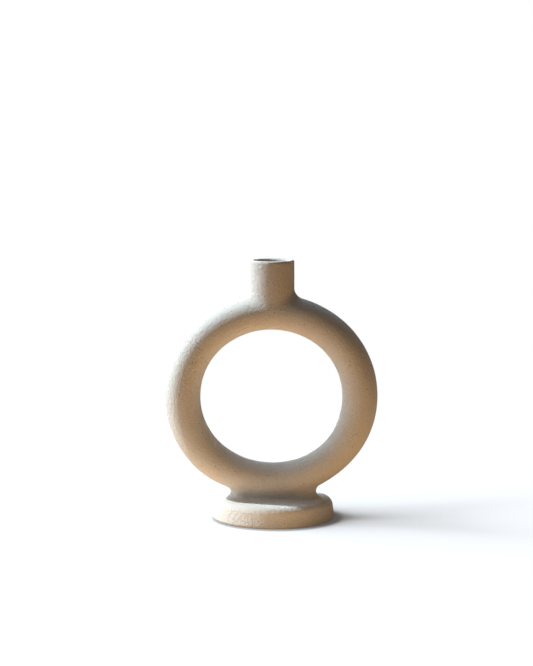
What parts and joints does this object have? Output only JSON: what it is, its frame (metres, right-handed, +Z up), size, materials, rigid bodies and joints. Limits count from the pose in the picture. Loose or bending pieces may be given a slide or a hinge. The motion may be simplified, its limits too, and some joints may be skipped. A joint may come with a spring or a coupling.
{
  "type": "donut vase",
  "caption": "Stoneware donut vase: a hollow oval ring round an open centre, a short round neck on its crown and a round disc foot.",
  "frame": {"origin": "on the table, under the middle of the ring", "axes": "+Z up through the neck, X across the ring, -Y towards the viewer, Y through the hole of the ring"},
  "size_m": [0.17, 0.0978, 0.2075],
  "materials": {
    "stoneware_body": "unglazed sandy stoneware, matte, with fine dark flecks",
    "joining_slip": "the same clay as a smoothed slip, matte",
    "liner_glaze": "thin satin olive brown glaze on the inside walls"
  },
  "bodies": {
    "root": {"ring_front_half": "stoneware_body", "ring_back_half": "stoneware_body", "outer_seam_slip": "joining_slip", "inner_seam_slip": "joining_slip", "neck": "stoneware_body", "neck_collar": "stoneware_body", "saddle": "stoneware_body", "foot": "stoneware_body", "liner_glaze": "liner_glaze"}
  },
  "joints": []
}
